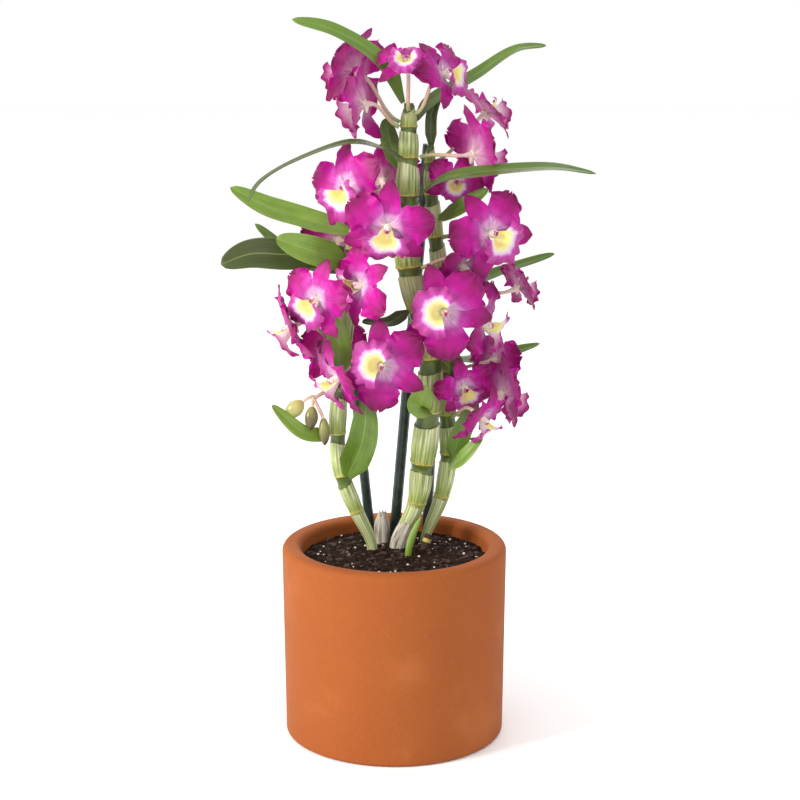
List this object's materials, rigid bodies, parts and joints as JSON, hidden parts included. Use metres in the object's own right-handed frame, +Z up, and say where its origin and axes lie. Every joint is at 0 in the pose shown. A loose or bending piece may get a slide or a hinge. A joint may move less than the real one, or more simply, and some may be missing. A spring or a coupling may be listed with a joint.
{
  "type": "potted dendrobium orchid",
  "caption": "Flowering nobile-type dendrobium orchid with jointed upright canes, magenta blooms and strap leaves, in a plain terracotta cylinder pot.",
  "frame": {"origin": "centre of the pot's underside", "axes": "+Z up along the pot's axis, -Y towards the front of the plant, +X to the front view's right"},
  "size_m": [0.2555, 0.16, 0.5074],
  "materials": {
    "terracotta": "matte unglazed",
    "soil": "rough loose mix",
    "cane": "papery sheaths over smooth green cane",
    "stake": "ribbed satin",
    "dry_sheath": "dry and papery",
    "petal": "soft velvety",
    "bud": "smooth satin",
    "leaf": "satin with a fine grain"
  },
  "bodies": {
    "root": {"pot": "terracotta", "soil": "soil", "cane_left": "cane", "cane_middle": "cane", "cane_right": "cane", "stake_middle": "stake", "stake_left": "stake", "stake_right": "stake", "back_bulb": "dry_sheath", "young_shoot": "leaf", "bud_spray": "bud", "bloom_01": "petal", "bloom_02": "petal", "bloom_03": "petal", "bloom_04": "petal", "bloom_05": "petal", "bloom_06": "petal", "bloom_07": "petal", "bloom_08": "petal", "bloom_09": "petal", "bloom_10": "petal", "bloom_11": "petal", "bloom_12": "petal", "bloom_13": "petal", "bloom_14": "petal", "bloom_15": "petal", "bloom_16": "petal", "bloom_17": "petal", "bloom_18": "petal", "bloom_19": "petal", "bloom_20": "petal", "bloom_21": "petal", "bloom_22": "petal", "bloom_23": "petal", "bloom_24": "petal", "bloom_25": "petal", "bloom_26": "petal", "bloom_27": "petal", "leaf_01": "leaf", "leaf_02": "leaf", "leaf_03": "leaf", "leaf_04": "leaf", "leaf_05": "leaf", "leaf_06": "leaf", "leaf_07": "leaf", "leaf_08": "leaf", "leaf_09": "leaf", "leaf_10": "leaf", "leaf_11": "leaf", "leaf_13": "leaf", "leaf_14": "leaf", "leaf_15": "leaf", "leaf_16": "leaf", "leaf_17": "leaf", "leaf_18": "leaf", "leaf_19": "leaf", "leaf_20": "leaf", "leaf_21": "leaf", "leaf_22": "leaf", "leaf_23": "leaf"}
  },
  "joints": []
}
